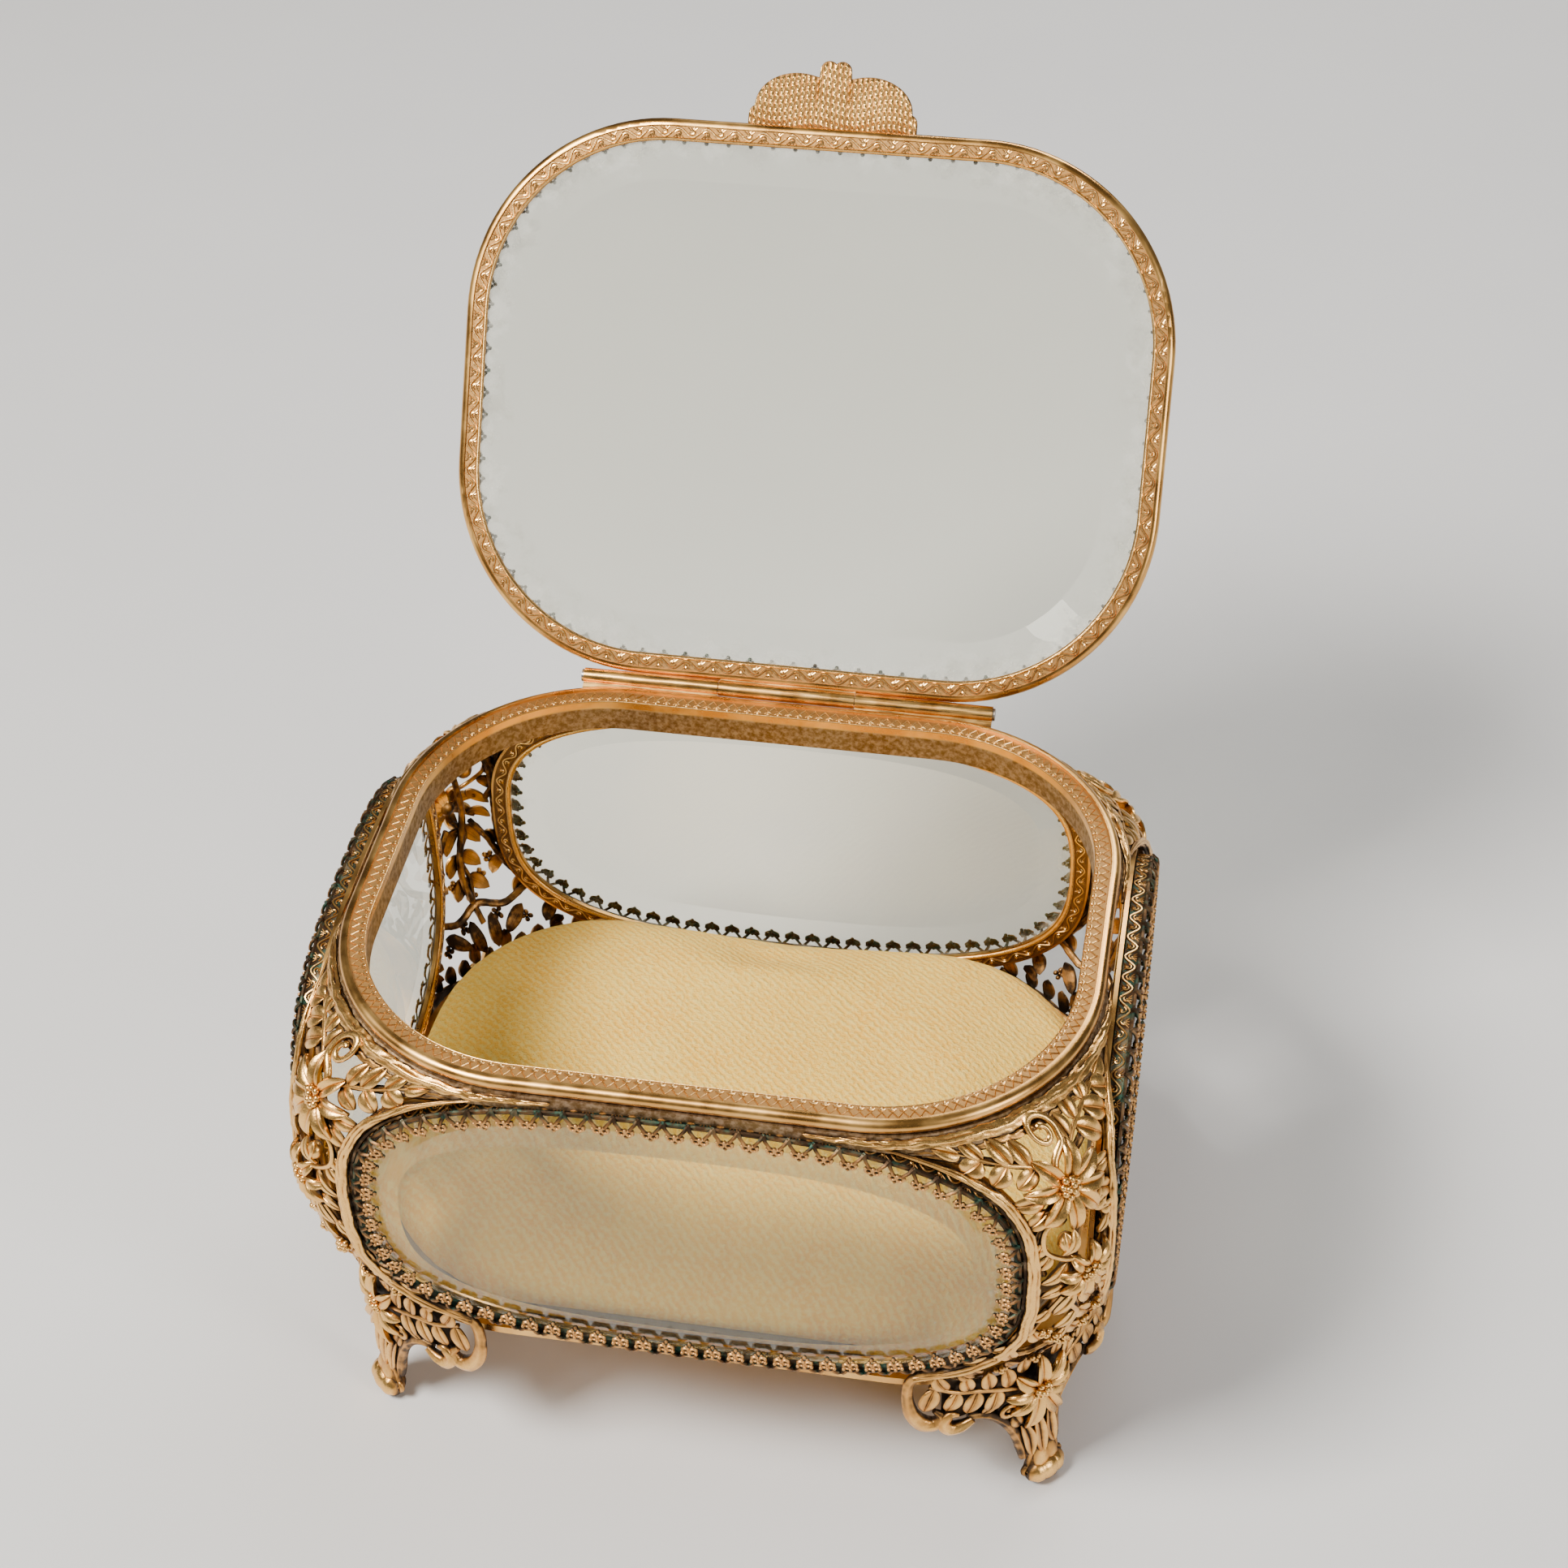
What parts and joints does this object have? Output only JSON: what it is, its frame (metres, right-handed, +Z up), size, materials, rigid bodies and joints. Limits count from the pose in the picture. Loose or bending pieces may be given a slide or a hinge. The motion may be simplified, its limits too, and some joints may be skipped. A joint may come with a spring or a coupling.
{
  "type": "vanity trinket box",
  "caption": "Gilt filigree trinket box with a hinged lid, bevelled oval glass windows held by prong bezels, scroll feet and a velvet cushion inside.",
  "frame": {"origin": "on the surface that the four feet stand on, under the centre of the rim", "axes": "+Z up, +X to the box's right seen from the front, -Y towards the front and the thumb tab side, +Y towards the hinge; the lid is open at rest"},
  "size_m": [0.1532, 0.1815, 0.2111],
  "materials": {
    "gilt": "polished",
    "gilt_filigree": "antiqued",
    "gilt_tube": "satin",
    "pin_steel": "satin",
    "bevelled_glass": "polished",
    "velvet": "velvet",
    "board": "matte"
  },
  "bodies": {
    "case": {"body_rim": "gilt", "base_plate": "gilt", "cushion_board": "board", "cushion": "velvet", "hinge_knuckle_left": "gilt_tube", "hinge_knuckle_right": "gilt_tube", "hinge_pin": "pin_steel", "front_window_frame": "gilt", "front_glass": "bevelled_glass", "front_prong_bezel": "gilt_filigree", "back_window_frame": "gilt", "back_glass": "bevelled_glass", "back_prong_bezel": "gilt_filigree", "left_window_frame": "gilt", "left_glass": "bevelled_glass", "left_prong_bezel": "gilt_filigree", "right_window_frame": "gilt", "right_glass": "bevelled_glass", "right_prong_bezel": "gilt_filigree", "corner_panel_front_left": "gilt_filigree", "foot_front_left": "gilt_filigree", "corner_panel_front_right": "gilt_filigree", "foot_front_right": "gilt_filigree", "corner_panel_back_left": "gilt_filigree", "foot_back_left": "gilt_filigree", "corner_panel_back_right": "gilt_filigree", "foot_back_right": "gilt_filigree"},
    "lid": {"lid_frame": "gilt", "lid_glass": "bevelled_glass", "lid_prong_bezel": "gilt_filigree", "thumb_tab": "gilt_filigree", "hinge_knuckle_centre": "gilt_tube"}
  },
  "joints": [
    {"name": "lid_hinge", "type": "hinge", "parent": "case", "child": "lid", "pos_m": [0, 0.0559, 0.1077], "axis": [-1, 0, 0], "range_deg": [-122, 0]}
  ]
}
